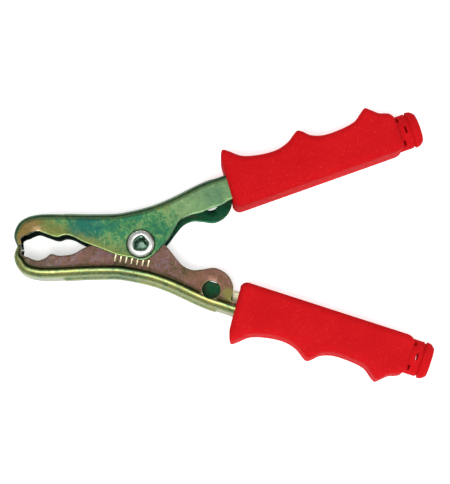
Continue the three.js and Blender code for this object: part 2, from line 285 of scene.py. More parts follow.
def merge_close(piece, distance=0.002):
    """Merges corners that cuts have left closer together than distance, in millimetres.

    Slivers that this folds flat, into two faces on the same corners, are taken out, and faces with
    more than four corners are split into triangles.
    """
    form = bmesh.new()
    form.from_mesh(piece.data)
    bmesh.ops.remove_doubles(form, verts=form.verts, dist=distance * MM)
    bmesh.ops.dissolve_degenerate(form, edges=form.edges, dist=distance * MM)
    on_corners = {}
    for face in form.faces:
        on_corners.setdefault(frozenset(corner.index for corner in face.verts), []).append(face)
    folded = [face for faces in on_corners.values() if len(faces) > 1 for face in faces]
    bmesh.ops.delete(form, geom=folded, context="FACES")
    many_sided = [face for face in form.faces if len(face.verts) > 4]
    bmesh.ops.triangulate(form, faces=many_sided)
    form.to_mesh(piece.data)
    form.free()


def shade(piece, degrees=32):
    """Smooth shading that keeps flat faces flat, and edges sharp where they turn by the angle."""
    piece.data.shade_smooth()
    piece.data.set_sharp_from_angle(angle=math.radians(degrees))
    step = piece.modifiers.new("shade", "WEIGHTED_NORMAL")
    step.keep_sharp = True
    apply_modifiers(piece)


def to_row_frame(piece, upper):
    """Moves a piece from its half's frame to the row frame."""
    turn = Matrix() if upper else Matrix.Rotation(math.pi, 4, "X")
    piece.data.transform(Matrix.Translation((0, 0, MID_HEIGHT * MM)) @ turn)
    piece.data.update()


# ------------------------------------------------------------------ pressed channel halves


def channel_stations(tooth_x):
    """Rows of (back, end of the straight wall, end of the stepped wall), from jaw tip to tang.

    Where a row below has only two points, both walls end at the second.
    """
    wall = TANG_BACK - TANG_DEPTH
    band = TANG_BACK - JOGGLE_END - 0.6

    def eye(degrees):
        return around((0, 0), EYE_RADIUS, degrees)

    def ear(degrees):
        return around(EAR_CENTRE, EAR_RADIUS, degrees)

    rows = [
        (TIP, (-37.9, TIP[1])),
        ((-40.3, 2.7), (-38.1, 2.3)),
        ((-40, 5.2), (-37.2, 3.1)),
        ((-38.5, 7.8), (-35.9, 3.5)),
        ((-35.8, 9.4), (-34.4, 4.2)),
        ((-32.4, 10.1), (-32.6, 4.6)),
        ((-29.8, 10.2), (-30.3, 3.8)),
        ((-27.4, 10.2), (tooth_x, TOOTH_Y)),
        ((-24.6, 10.1), (tooth_x + 2.6, 3.2)),
        ((-21.5, 10), (-21.6, 2.7)),
        ((-17.5, 9.85), (-18, 0.8)),
        ((-12, 9.8), (-12.2, -1.5)),
        ((-7.5, 9.9), (-7.2, -3.5)),
        ((-3.5, 10.55), eye(-122)),
        ((0.4, 11.4), eye(-84)),
        ((4, 12.4), eye(-46)),
        ((7.5, 13.7), (8.1, 0.7)),
        ((10.5, 15), (10.4, 4.2), (11, 4.4)),
        ((13, 16.2), (12.3, 7.3), (13.4, 7.1)),
        ((16, 17.7), (15.8, 9), (16.4, 8.4)),
        ((18.8, 19), (19.2, 9.8), ear(-113)),
        ((21.4, 20.1), (22.2, 11), ear(-78)),
        (on_grip(29.5, TANG_BACK), on_grip(28, wall - 0.6), ear(-43)),
        (on_grip(31.5, TANG_BACK), on_grip(31, wall), ear(-8)),
        (on_grip(33.2, TANG_BACK), on_grip(33, wall), ear(27)),
        (on_grip(35.5, TANG_BACK), on_grip(35.5, wall), on_grip(34.8, band)),
        (on_grip(42, TANG_BACK), on_grip(42, wall), on_grip(42, band)),
        (on_grip(TANG_END, TANG_BACK), on_grip(TANG_END, wall + 0.8), on_grip(TANG_END, band)),
    ]
    return [(row[0], row[1], row[-1]) for row in rows]


def sheet_side(side, lining):
    """Section points of one side of the sheet, from the wall's edge to the middle of the back.

    A wall point has its distance back from the edge, or its share of the way down the wall; any
    other point has its depth below the back. Each has the way that the sheet's surface faces there.
    """
    stepped = side < 0
    skin = SHEET if lining else 0.0
    facing = -1.0 if lining else 1.0
    wall_z = (INNER_WALL if stepped else HALF_WIDTH) - skin
    points = []

    def add(z, face_z, face_depth, **place):
        points.append(dict(z=side * z, face=(side * face_z, face_depth), lining=lining, **place))

    for back_off, pinch in zip(EDGE_STEPS, (*EDGE_PINCH, 0, 0)):
        add(wall_z - facing * pinch, facing, 0, back_off=back_off)
    for share in (0.8, 0.55, 0.3, 0.12):
        add(wall_z, facing, 0, share=share)
    for step in np.linspace(0, 1, 7):
        z = wall_z + (HALF_WIDTH - skin - wall_z) * float(smooth(step, 0, 1))
        add(z, facing, 0, depth=JOGGLE_END + (JOGGLE_START - JOGGLE_END) * step)
    radius = BEND_RADIUS - skin
    flat = HALF_WIDTH - BEND_RADIUS
    for turn in np.linspace(math.pi / 2, 0, 9):
        z = flat + radius * math.sin(turn)
        depth = BEND_RADIUS - radius * math.cos(turn)
        add(z, facing * math.sin(turn), -facing * math.cos(turn), depth=depth)
    for z in (4.3, 3.4, RIB_FOOT, 2.6, 2.4, 2.2, 2.0, 1.8, 1.6, 1.3, 0.9, 0.45):
        add(z, 0, -facing, depth=skin, rib=float(smooth(z, RIB_FOOT, RIB_FLAT)))
    return points


def sheet_section():
    """Section points all round the sheet: over the outside, then back along the lining."""
    outside = sheet_side(1, False) + sheet_side(-1, False)[::-1]
    inside = sheet_side(1, True) + sheet_side(-1, True)[::-1]
    return outside + inside[::-1]


def channel_samples(segments):
    """Where sections are taken, and how much each is pinched.

    They are close together at the tip's rounded edge and far apart in the grip.
    """
    ts = [back_off / TIP_STEP for back_off in EDGE_STEPS]
    gripped = segments - GRIPPED_STATIONS
    ts += list(np.arange(FIRST_SECTION, gripped, JAW_STEP))
    ts += list(np.linspace(gripped, segments, GRIPPED_SECTIONS))
    pinch = np.zeros(len(ts))
    pinch[:len(EDGE_PINCH)] = EDGE_PINCH
    return np.array(ts) / segments, pinch


def channel_points(tooth_x):
    """Points of the channel's sheet, as rows of sections from the jaw's tip to the tang's end.

    Each section lies square to the back, and leans towards the wall's end where the jaw is slim.
    """
    stations = channel_stations(tooth_x)
    ts, pinch = channel_samples(len(stations) - 1)
    back, run = spline([s[0] for s in stations], ts)
    normal = np.stack([run[:, 1], -run[:, 0]], -1)
    straight = spline([s[1] for s in stations], ts)[0]
    stepped = spline([s[2] for s in stations], ts)[0]
    rib_size = RIB_HEIGHT * smooth(back[:, 0], RIB_FROM_X, RIB_FROM_X + RIB_RAMP)
    rib_size = rib_size * (1 - smooth(back[:, 0], RIB_TO_X - RIB_RAMP, RIB_TO_X))
    columns = []
    for point in sheet_section():
        edge = straight if point["z"] > 0 else stepped
        reach = edge - back
        room = np.linalg.norm(reach, axis=1)
        lean = np.clip(2 - room / JOGGLE_END, 0, 1)[:, None]
        inward = normal * (1 - lean) + reach / room[:, None] * lean
        inward /= np.linalg.norm(inward, axis=1, keepdims=True)
        face_z, face_depth = point["face"]
        if point["lining"]:
            squeeze = np.minimum(1, (SLIM_LINING * room - SHEET) / (JOGGLE_END - SHEET))
            depth = SHEET + (point.get("depth", JOGGLE_END) - SHEET) * squeeze
        else:
            squeeze = np.minimum(1, SLIM_OUTSIDE * room / JOGGLE_END)
            depth = point.get("depth", JOGGLE_END) * squeeze
        if "depth" in point:
            depth = depth - point.get("rib", 0) * rib_size - face_depth * pinch
            place = back + inward * depth[:, None]
        else:
            root = back + inward * depth[:, None]
            wall = edge - root
            if "share" in point:
                part = np.full(len(ts), point["share"])
            else:
                part = 1 - point["back_off"] / np.maximum(np.linalg.norm(wall, axis=1), FULL_WALL)
            place = root + wall * part[:, None]
        columns.append(np.column_stack([place, point["z"] - face_z * pinch]))
    return np.stack(columns, 1)


def channel_half(name, tooth_x):
    """Pressed sheet of one half, with its lug hole, pivot holes and ticks, in the half's frame."""
    points = channel_points(tooth_x)
    rows, count = points.shape[:2]
    faces = ring_faces(rows, count)
    last = (rows - 1) * count
    for j in range(count // 2 - 1):
        a, b, c, d = j, j + 1, count - 2 - j, count - 1 - j
        faces.append([a, b, c, d])
        faces.append([last + d, last + c, last + b, last + a])
    half = make_mesh(name, points.reshape(-1, 3), faces)
    lug_hole = spool("lug_hole", LUG_HOLE_RADIUS, -INNER_WALL, -INNER_WALL + SHEET)
    lug_hole.data.transform(Matrix.Translation((EAR_CENTRE[0] * MM, EAR_CENTRE[1] * MM, 0)))
    fit = SHANK_RADIUS + SHANK_PLAY
    past = HALF_WIDTH + 1
    pivot_hole = lathe("pivot_hole", [(fit, -past), (fit, past)])
    combine(half, [lug_hole, pivot_hole, *ticks()], "DIFFERENCE")
    return half


def ticks():
    """Cutters for a row of plain coined ticks in the stepped wall's outer face."""
    width, length = TICK_SIZE
    cutters = []
    for k in range(TICK_COUNT):
        points = [(x * width / 2, y * length / 2, z) for z in (-1, TICK_DEPTH) for x, y in SQUARE]
        cutter = capped_loft("tick", points, 4)
        soften(cutter, TICK_ROUNDING, 3)
        x, y = TICK_FROM[0] + k * TICK_STEP[0], TICK_FROM[1] + k * TICK_STEP[1]
        place = Matrix.Translation((x * MM, y * MM, -INNER_WALL * MM))
        cutter.data.transform(place @ Matrix.Rotation(TICK_SLANT, 4, "Z"))
        cutters.append(cutter)
    return cutters


def spool(name, radius, low, high):
    """Cutter for a hole through a sheet from low to high, whose rims it rounds."""
    rim = [(radius + EDGE * (1 - math.sin(turn)), EDGE * (1 - math.cos(turn)))
           for turn in np.linspace(0, math.pi / 2, 5)]
    profile = [(radius + EDGE, low - 2)]
    profile += [(r, low + h) for r, h in rim]
    profile += [(r, high - h) for r, h in rim[::-1]]
    profile.append((radius + EDGE, high + 2))
    return lathe(name, profile)


# ------------------------------------------------------------------ grips

RIDGE_LINE = [  # (u, v) along the finger ridges, from the front to the collar
    (34.2, 18.6), (35.5, 20), (37.5, 18.6), (41, 15.8), (46.3, 14.3), (51.8, 13.9), (56, 15),
    (58.6, 16.7), (60.2, 17.5), (61.7, 16.7), (64, 14.6), (68, 13.3), (73.5, 13.3), (78.3, 14.1),
    (81.2, 16.1), (83, 17.1), (84.6, 15.9), (87, 13.9), (90.9, 12.9),
]


def grip_body(name, seat):
    """Rounded rectangles lofted between the grip's inner face and its ridge line."""
    segments = len(RIDGE_LINE) - 1
    near_end = [0, 0.02, 0.06, 0.12, 0.2, 0.3, 0.42, 0.56, 0.72]
    ts = near_end + list(np.arange(0.9, segments - 0.6, 0.1))
    ts += [segments - t for t in near_end[6::-1]]
    top, _ = spline(RIDGE_LINE, np.array(ts) / segments)
    first, last = RIDGE_LINE[0][0], RIDGE_LINE[-1][0]
    turns = np.linspace(0, math.pi / 2, 9)
    points = []
    for top_u, top_v in top:
        bottom_u = GRIP_FRONT + (top_u - first) / (last - first) * (last - GRIP_FRONT)
        from_end = max(0.0, min(GRIP_EDGE, top_u - first, last - top_u))
        inset = GRIP_EDGE - math.sqrt(GRIP_EDGE ** 2 - (GRIP_EDGE - from_end) ** 2)
        radius = max(GRIP_EDGE - inset, LEAST_ROUNDING * GRIP_EDGE)
        for side_v, side_z in ((-1, -1), (-1, 1), (1, 1), (1, -1)):
            order = turns[::-1] if side_v * side_z > 0 else turns
            for turn in order:
                z = side_z * (GRIP_HALF_WIDTH - GRIP_EDGE + radius * math.sin(turn))
                middle = top_v - GRIP_EDGE if side_v > 0 else GRIP_FACE + GRIP_EDGE
                v = middle + side_v * radius * math.cos(turn)
                u = bottom_u + (top_u - bottom_u) * (v - GRIP_FACE) / (top_v - GRIP_FACE)
                points.append((*on_grip(u + seat[0], v + seat[1]), z))
    return capped_loft(name, points, 4 * len(turns))


def lay_along_grip(piece, u, seat):
    """Turns a piece made about z to lie on the collar's axis, moved by u along it."""
    x, y = on_grip(u + seat[0], COLLAR_HEIGHT + seat[1])
    turn = Matrix.Rotation(GRIP_ANGLE, 4, "Z") @ Matrix.Rotation(math.pi / 2, 4, "Y")
    piece.data.transform(Matrix.Translation((x * MM, y * MM, 0)) @ turn)


def grip(name, seat):
    """Whole moulding: the ridged body with its collar, bore, windows and pocket for the tang."""
    collar = lathe("collar", rounded_profile([
        (COLLAR_RADIUS, COLLAR_START, 0),
        (COLLAR_RADIUS, COLLAR_END - 3.6, 0.12),
        (COLLAR_RADIUS - 0.35, COLLAR_END - 3.45, 0.1),
        (COLLAR_RADIUS - 0.35, COLLAR_END - 3.0, 0.1),
        (FLANGE_RADIUS, COLLAR_END - 2.85, 0.15),
        (FLANGE_RADIUS - 0.15, COLLAR_END - 1.5, 0.5),
        (BORE_RADIUS + 1.1, COLLAR_END, 0.7),
        (BORE_RADIUS - 0.4, COLLAR_END, 0),
    ]))
    bore = lathe("bore", [
        (BORE_RADIUS, TANG_END + 1),
        (BORE_RADIUS, COLLAR_END - 0.4),
        (BORE_RADIUS + 0.12, COLLAR_END - 0.18),
        (BORE_RADIUS + 0.6, COLLAR_END + 0.12),
        (BORE_RADIUS + 0.6, COLLAR_END + 2),
    ])
    for tool in (collar, bore):
        lay_along_grip(tool, 0, seat)
    handle = grip_body(name, seat)
    combine(handle, [collar], "UNION")
    combine(handle, [bore, pocket(), *collar_windows(seat)], "DIFFERENCE")
    return handle


def pocket():
    """Cutter for the pocket that the tang sits in, with the cable beside it."""
    roof, side = TANG_BACK + GAP, HALF_WIDTH + GAP
    corners = ((POCKET_FLOOR, -side), (POCKET_FLOOR, side), (roof, side), (roof, -side))
    points = [(*on_grip(u, v), z) for u in (POCKET_START, POCKET_END) for v, z in corners]
    cutter = capped_loft("pocket", points, 4)
    soften(cutter, POCKET_ROUNDING, 4)
    return cutter


def collar_windows(seat):
    """Cutters for the windows round the collar, whose two rows are staggered."""
    inner, outer, side = BORE_RADIUS - 0.8, FLANGE_RADIUS + 0.05, WINDOW_WIDTH / 2
    corners = ((inner, -side), (inner, side), (outer, side), (outer, -side))
    cutters = []
    for row in (0, 1):
        for k in range(WINDOWS_PER_ROW):
            turn = (k + 0.5 + 0.5 * row) * 2 * math.pi / WINDOWS_PER_ROW
            points = [(x, y, end * WINDOW_LENGTH / 2) for end in (-1, 1) for x, y in corners]
            cutter = capped_loft("window", points, 4)
            cutter.data.transform(Matrix.Rotation(turn, 4, "Z"))
            soften(cutter, WINDOW_ROUNDING, 3)
            lay_along_grip(cutter, FIRST_WINDOW_ROW + row * WINDOW_ROW_SPACING, seat)
            cutters.append(cutter)
    return cutters


# ------------------------------------------------------------------ rivet and spring


def rivet():
    """Tubular rivet: a flat head below, and above a set end rolled unevenly round its hollow."""
    wall = HALF_WIDTH + HEAD_PLAY
    profile = rounded_profile([
        (FLAT_HEAD_RADIUS - 1.2, -MID_HEIGHT, 0),
        (FLAT_HEAD_RADIUS - 0.5, -MID_HEIGHT, 0.4),
        (FLAT_HEAD_RADIUS, -MID_HEIGHT + 0.8, 0.5),
        (FLAT_HEAD_RADIUS - 0.3, -wall, 0.25),
        (SHANK_RADIUS, -wall, 0),
        (SHANK_RADIUS, wall, 0),
        (SET_HEAD_RADIUS - 0.25, wall, 0.15),
        (SET_HEAD_RADIUS, wall + 0.5, 0.3),
        (SET_HEAD_RADIUS - 0.75, wall + 1.25, 0.45),
        (HOLLOW_RADIUS + 0.55, wall + 1.45, 0.4),
        (HOLLOW_RADIUS + 0.05, wall + 0.8, 0.35),
        (HOLLOW_RADIUS - 0.15, HALF_WIDTH - 4, 0.2),
        (HOLLOW_RADIUS - 0.9, HALF_WIDTH - 4.7, 0),
    ], steps=8)
    piece = lathe("rivet", profile, sides=128)
    for vertex in piece.data.vertices:
        x, y, z = vertex.co / MM
        if z > 0:
            reach = float(smooth(math.hypot(x, y), SET_HEAD_RADIUS - 0.9, HOLLOW_RADIUS))
            angle = math.atan2(y, x)
            waves = 0.07 * math.cos(3 * angle + 1.1) + 0.05 * math.cos(5 * angle - 0.6)
            spread = 1 + reach * waves
            vertex.co = Vector((x * spread, y * spread, z)) * MM
    piece.data.transform(Matrix.Translation((0, 0, MID_HEIGHT * MM)))
    return piece


def spring_line():
    """Middle of the wire: a leg against each channel's back, and the coil round the rivet."""
    pitch = 2 * WIRE_RADIUS + COIL_CLEARANCE
    sweep = COIL_TURNS * 2 * math.pi - 2 * LEG_ANGLE
    rise = pitch * sweep / (2 * math.pi)
    start = math.pi / 2 + LEG_ANGLE

    def leg(height, sign):
        for reach in np.linspace(0.98, 0.08, 16) * LEG_LENGTH:
            x = COIL_RADIUS * math.cos(start) + reach * math.cos(LEG_ANGLE)
            y = COIL_RADIUS * math.sin(start) + reach * math.sin(LEG_ANGLE)
            yield (x, sign * y, height)

    line = list(leg(rise / 2, 1))
    for t in np.linspace(0, 1, 160):
        x, y = around((0, 0), COIL_RADIUS, math.degrees(start + sweep * t))
        line.append((x, y, rise / 2 - rise * t))
    line += list(leg(-rise / 2, -1))[::-1]
    return np.array(line), rise


def spring():
    """Round wire swept along its line, and the height that its coil takes up."""
    line, rise = spring_line()
    run = np.gradient(line, axis=0)
    run /= np.linalg.norm(run, axis=1, keepdims=True)
    up = np.tile((0.0, 0.0, 1.0), (len(line), 1))
    side = np.cross(run, up)
    side /= np.linalg.norm(side, axis=1, keepdims=True)
    up = np.cross(side, run)
    points = []
    for place, s, n in zip(line, side, up):
        for k in range(WIRE_SIDES):
            angle = 2 * math.pi * k / WIRE_SIDES
            points.append(place + WIRE_RADIUS * (s * math.cos(angle) + n * math.sin(angle)))
    piece = capped_loft("spring", points, WIRE_SIDES)
    soften(piece, WIRE_END_ROUNDING, 3, degrees=60)
    piece.data.transform(Matrix.Translation((0, 0, MID_HEIGHT * MM)))
    return piece, rise


# ------------------------------------------------------------------ colours


def colour(red, green, blue):
    """Linear colour from one given as it looks on screen, in steps of 255."""
    levels = [c / 255 for c in (red, green, blue)]
    linear = [c / 12.92 if c <= 0.04045 else ((c + 0.055) / 1.055) ** 2.4 for c in levels]
    return (*linear, 1.0)


# The third colour on the next line serves only as the upper half's painted highlight along its
# bends.
TEAL, GREEN, SAGE_HIGHLIGHT = colour(30, 96, 88), colour(58, 118, 76), colour(120, 156, 108)
OLIVE, TAN, BRONZE = colour(120, 120, 62), colour(126, 102, 60), colour(98, 80, 62)
ROSE, MOSS, LIME = colour(112, 80, 72), colour(60, 62, 42), colour(128, 138, 86)
RUST, BOTTLE, GOLD = colour(118, 82, 66), colour(20, 60, 42), colour(144, 134, 78)
# The first colour here is near black, used as painted shade; the second is pale, for bare coined
# metal and for painted light.
PAINTED_SHADE, PALE_BARE_AND_PAINTED_LIGHT = colour(12, 20, 16), colour(250, 240, 200)
SCRATCHED, GRIME = colour(190, 206, 164), colour(30, 30, 20)

RED_DARK, RED_LIGHT = colour(194, 20, 26), colour(205, 25, 30)
RED_SPECK, RED_DUST = colour(160, 10, 16), colour(230, 56, 52)
# The third zinc colour is painted shade, for a dark ring round the rivet's set head.
ZINC_BRIGHT, ZINC_DULL, ZINC_RIM_SHADE = colour(240, 242, 236), colour(188, 196, 180), colour(60, 58, 36)
STAIN_DARK, STAIN_LIGHT = colour(24, 74, 62), colour(120, 168, 140)
WIRE_LIGHT, WIRE_DARK = colour(128, 128, 126), colour(92, 90, 86)
FLOOR_GREY, WHITE = colour(252, 252, 252), colour(255, 255, 255)

# A film's colours run from its thin places to its thick ones. Fades are (x, y, direction, soft,
# colour, share), and spots are (x, y, radius, soft, colour, share).
UPPER_FILM = dict(
    wall=[(0.0, colour(44, 104, 88)), (0.4, GREEN), (0.75, colour(104, 142, 92)), (1.0, OLIVE)],
    # The back's dark colours are partly film and partly painted shade, on bends that turn away from
    # the light.
    back=[(0.0, colour(34, 66, 50)), (0.5, colour(52, 84, 56)), (1.0, colour(84, 104, 64))],
    # painted highlight: a lighter line along the start of the bends
    painted_shoulder_highlight=SAGE_HIGHLIGHT,
    fades=[
        (-20, 7.0, -113, 5, OLIVE, 0.8),
        (-29, 6, 180, 6, TAN, 0.8),
        (7, 6, 20, 9, colour(126, 154, 106), 0.7),
    ],
    spots=[
        (-17, 7, 2, 6, TEAL, 0.7),
        # painted highlight: a small light peach spot near the upper nose
        (-33, 5, 0.5, 2, colour(214, 176, 140), 0.5),
        (24, 15, 1, 4, TEAL, 0.3),
    ],
)
LOWER_FILM = dict(
    wall=[(0.0, MOSS), (0.3, BRONZE), (0.55, ROSE), (0.8, colour(104, 90, 96)),
          (1.0, colour(150, 118, 84))],
    # The back's light colours are partly film and partly painted highlight, on bends that face the
    # light.
    back=[(0.0, colour(62, 90, 66)), (0.35, colour(98, 120, 80)), (0.7, LIME), (1.0, GOLD)],
    # painted highlight: a lighter line along the start of the bends
    painted_shoulder_highlight=GOLD,
    fades=[
        (-24, -6, 180, 10, MOSS, 0.5),
    ],
    spots=[
        (22, -12, 4, 6, RUST, 0.6),
        (28, -17, 1, 3, OLIVE, 0.8),
    ],
)
LINING = [(0.0, BOTTLE), (0.6, colour(26, 78, 52)), (1.0, MOSS)]
PAINTED_SHADE_FROM_X, PAINTED_SHADE_BY_X = 9.0, 1.0  # painted shade: the lining darkens between these, towards the mouth
PAINTED_LIGHT_END = (28.6, -13, 0)  # past this line the lower channel's lining is painted pale, as painted light
PAINTED_LIGHT_SOFT = 0.6
FILM_WOBBLE = 7.0  # how far the film's patches stray from their outlines

# ------------------------------------------------------------------ materials


class Surface:
    """A node material, built up step by step around one Principled shader.

    Lengths are in millimetres. A value can be a number or another node's socket.
    """

    def __init__(self, name, **sockets):
        self.material = bpy.data.materials.new(name)
        self.material.use_nodes = True
        self.tree = self.material.node_tree
        self.shader = self.tree.nodes["Principled BSDF"]
        for socket, value in sockets.items():
            self.give(socket.replace("_", " "), value)
        coordinates = self.node("ShaderNodeTexCoord")
        scale = self.node("ShaderNodeVectorMath", operation="SCALE")
        scale.inputs["Scale"].default_value = 1 / MM
        self.link(coordinates.outputs["Object"], scale.inputs[0])
        self.place = scale.outputs[0]
        self.x, self.y, self.z = self.split(self.place)
        self.face_z = self.split(coordinates.outputs["Normal"])[2]

    def node(self, kind, **settings):
        node = self.tree.nodes.new(kind)
        for key, value in settings.items():
            setattr(node, key, value)
        return node

    def link(self, source, target):
        self.tree.links.new(source, target)

    def put(self, value, target):
        """Sets a socket to a number or a colour, or links another socket to it."""
        if isinstance(value, (int, float, tuple)):
            target.default_value = value
        else:
            self.link(value, target)

    def give(self, socket, value):
        """Puts a value into the shader's socket of that name."""
        self.put(value, self.shader.inputs[socket])

    def split(self, vector):
        node = self.node("ShaderNodeSeparateXYZ")
        self.link(vector, node.inputs[0])
        return tuple(node.outputs)

    def noise(self, size, detail=3.0, roughness=0.5, distortion=0.0,
              stretch=(1, 1, 1), offset=(0, 0, 0), turn=0.0):
        """Noise from 0 to 1 whose blotches are about size wide, turned about z by turn degrees."""
        mapping = self.node("ShaderNodeMapping")
        mapping.inputs["Rotation"].default_value = (0, 0, math.radians(turn))
        mapping.inputs["Scale"].default_value = [s / size for s in stretch]
        mapping.inputs["Location"].default_value = offset
        self.link(self.place, mapping.inputs["Vector"])
        noise = self.node("ShaderNodeTexNoise")
        noise.inputs["Scale"].default_value = 1.0
        noise.inputs["Detail"].default_value = detail
        noise.inputs["Roughness"].default_value = roughness
        noise.inputs["Distortion"].default_value = distortion
        self.link(mapping.outputs[0], noise.inputs["Vector"])
        return noise.outputs["Fac"]

    def ramp(self, value, low, high):
        """0 at low, 1 at high, smooth between. Low may be the greater."""
        node = self.node("ShaderNodeMapRange", interpolation_type="SMOOTHSTEP")
        self.put(value, node.inputs["Value"])
        node.inputs["From Min"].default_value = low
        node.inputs["From Max"].default_value = high
        return node.outputs["Result"]

    def between(self, value, start, full, fade, end):
        """1 from full to fade, 0 before start and past end."""
        return self.times(self.ramp(value, start, full), self.ramp(value, end, fade))

    def math(self, operation, a, b=0.0, clamp=False):
        node = self.node("ShaderNodeMath", operation=operation, use_clamp=clamp)
        self.put(a, node.inputs[0])
        self.put(b, node.inputs[1])
        return node.outputs[0]

    def times(self, a, b):
        return self.math("MULTIPLY", a, b)

    def minus(self, a, b):
        return self.math("SUBTRACT", a, b)

    def total(self, *terms, base=0.0):
        """Base plus the product of each (value, weight)."""
        for value, weight in terms:
            base = self.math("ADD", base, self.times(value, weight))
        return base

    def mix(self, a, b, share):
        """Colour a where share is 0 and b where it is 1."""
        node = self.node("ShaderNodeMix", data_type="RGBA")
        self.put(share, node.inputs[0])
        self.put(a, node.inputs[6])
        self.put(b, node.inputs[7])
        return node.outputs[2]

    def layer(self, tint, tone, mask, strength):
        """Tint with another tone over it where the mask is 1, at most as strong as given."""
        return self.mix(tint, tone, self.times(mask, strength))

    def band(self, value, stops):
        """Colour ramp through (position, colour) stops."""
        node = self.node("ShaderNodeValToRGB")
        node.color_ramp.interpolation = "EASE"
        elements = node.color_ramp.elements
        while len(elements) < len(stops):
            elements.new(0.5)
        for element, (position, tone) in zip(elements, stops):
            element.position = position
            element.color = tone
        self.put(value, node.inputs[0])
        return node.outputs[0]

    def distance(self, x=0.0, y=0.0):
        """Distance from (x, y), whatever z is."""
        dx = self.minus(self.x, x)
        dy = self.minus(self.y, y)
        return self.math("SQRT", self.total((dx, dx), (dy, dy)))

    def spot(self, x, y, radius, soft, wobble=0.0):
        """1 within radius of (x, y), whatever z is, fading to 0 over soft more."""
        return self.ramp(self.math("ADD", self.distance(x, y), wobble), radius + soft, radius)

    def side(self, x, y, degrees, soft, wobble=0.0):
        """0 on the near side of a line through (x, y), 1 once soft past it in the direction."""
        way = math.radians(degrees)
        dx = self.minus(self.x, x)
        dy = self.minus(self.y, y)
        past = self.total((dx, math.cos(way)), (dy, math.sin(way)), base=wobble)
        return self.ramp(past, 0.0, soft)

    def bump(self, height, distance):
        """Adds relief, distance deep for a height of 1."""
        node = self.node("ShaderNodeBump")
        node.inputs["Strength"].default_value = 1.0
        node.inputs["Distance"].default_value = distance * MM
        self.link(height, node.inputs["Height"])
        if self.shader.inputs["Normal"].is_linked:
            before = self.shader.inputs["Normal"].links[0].from_socket
            self.link(before, node.inputs["Normal"])
        self.give("Normal", node.outputs["Normal"])


def film_on_walls(surface, film, level, small, fine):
    """The film's colour on the flat walls, with its fades and spots."""
    wobble = surface.times(surface.minus(small, 0.5), FILM_WOBBLE)
    strength = surface.math("ADD", fine, 0.5)
    places = [(surface.side(*outline, wobble), tone, share)
              for *outline, tone, share in film["fades"]]
    places += [(surface.spot(*outline, wobble), tone, share)
               for *outline, tone, share in film["spots"]]
    tint = surface.band(level, film["wall"])
    for place, tone, share in places:
        share = surface.math("MULTIPLY", strength, share, clamp=True)
        tint = surface.layer(tint, tone, place, share)
    return tint


def chromate_lining(surface, level, painted_light_end):
    """Colour inside the channel: dark, darker still towards the mouth as painted shade, and past
    the end line a pale patch of painted light.
    """
    # painted shade: the lining turns near black towards the mouth
    tint = surface.mix(surface.band(level, LINING), PAINTED_SHADE,
                       surface.ramp(surface.x, PAINTED_SHADE_FROM_X, PAINTED_SHADE_BY_X))
    if painted_light_end:
        # painted light: a pale patch over the lining past the end line
        tint = surface.mix(tint, PALE_BARE_AND_PAINTED_LIGHT, surface.side(*PAINTED_LIGHT_END, PAINTED_LIGHT_SOFT))
    return tint


